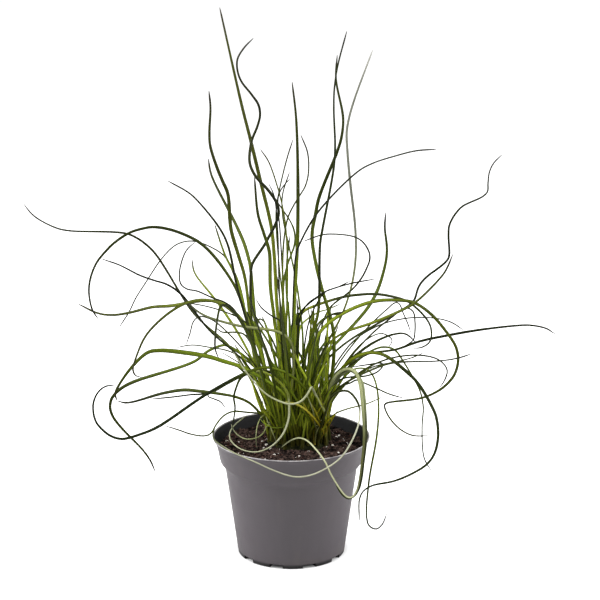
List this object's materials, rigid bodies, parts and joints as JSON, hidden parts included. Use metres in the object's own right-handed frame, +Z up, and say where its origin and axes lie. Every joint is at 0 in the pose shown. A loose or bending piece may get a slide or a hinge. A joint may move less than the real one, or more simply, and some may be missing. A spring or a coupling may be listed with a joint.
{
  "type": "potted corkscrew rush",
  "caption": "Tuft of curling, leafless green stems growing from dark soil in a round tapered plastic nursery pot with a deep rim band.",
  "frame": {"origin": "centre of the pot's flat underside, on the surface that the pot stands on", "axes": "+Z up along the pot's axis; the picture is seen from -Y, with +X to its right"},
  "size_m": [0.3978, 0.2947, 0.41],
  "materials": {
    "pot_plastic": "fine-grained matt grey moulded plastic",
    "peat_soil": "crumbly dark peat with white grains",
    "crown_sheath": "papery olive-brown sheaths",
    "stem_green": "smooth living stem, faintly ribbed",
    "stem_olive": "smooth living stem, faintly ribbed",
    "stem_dark": "smooth living stem, faintly ribbed",
    "stem_pale": "smooth pale stem, faintly ribbed"
  },
  "bodies": {
    "root": {"pot": "pot_plastic", "soil": "peat_soil", "crown": "crown_sheath", "stem_tall_left_whip": "stem_olive", "stem_curl_companion": "stem_olive", "stem_left_tall": "stem_olive", "stem_left_second": "stem_olive", "stem_centre_needle": "stem_green", "stem_right_tall_wave": "stem_olive", "stem_right_tall_straight": "stem_olive", "stem_right_faint_tall": "stem_olive", "stem_top_right_arc": "stem_dark", "stem_inner_loop": "stem_green", "stem_right_upright": "stem_olive", "stem_far_right_zigzag": "stem_olive", "stem_far_right_leaf": "stem_olive", "stem_right_big_arch": "stem_green", "stem_right_upper_arch": "stem_green", "stem_right_long_whip": "stem_dark", "stem_right_droop_loop": "stem_green", "stem_thin_hook": "stem_olive", "stem_front_thick_droop": "stem_pale", "stem_rim_loop": "stem_pale", "stem_front_cream_loop": "stem_pale", "stem_centre_wave": "stem_green", "stem_soil_loop": "stem_pale", "stem_left_thin_drop": "stem_dark", "stem_left_thick_arch": "stem_green", "stem_left_low_arch": "stem_green", "stem_left_returning": "stem_olive", "stem_left_long_diagonal": "stem_green", "stem_far_left_whip": "stem_dark", "stem_left_big_loop": "stem_olive", "stem_left_horizontal": "stem_olive", "stem_left_inner_reach": "stem_dark", "stem_left_hair_diagonal": "stem_dark", "stem_left_inner_tip": "stem_olive", "stem_left_arc_down": "stem_olive", "stem_front_horizontal": "stem_green", "stem_top_left_thin": "stem_dark", "stem_left_needle": "stem_green", "stem_centre_thin_left": "stem_olive", "stem_centre_thin_right": "stem_olive", "stem_centre_thin_tip": "stem_olive", "stem_centre_left_vertical": "stem_green", "stem_centre_right_curve": "stem_green", "stem_right_mid_arch": "stem_olive", "stem_right_far_arc": "stem_dark", "stem_right_low_reach": "stem_olive", "stem_right_thin_drop": "stem_olive", "stem_back_arch_left": "stem_green", "stem_back_arch_right": "stem_green", "stem_back_whip": "stem_olive", "stem_back_droop": "stem_green", "stem_back_curl": "stem_olive", "stem_front_reach": "stem_green", "stem_front_whip": "stem_olive", "stem_front_left_hook": "stem_olive", "stem_front_right_curl": "stem_green", "stem_centre_short_needle": "stem_green"}
  },
  "joints": []
}
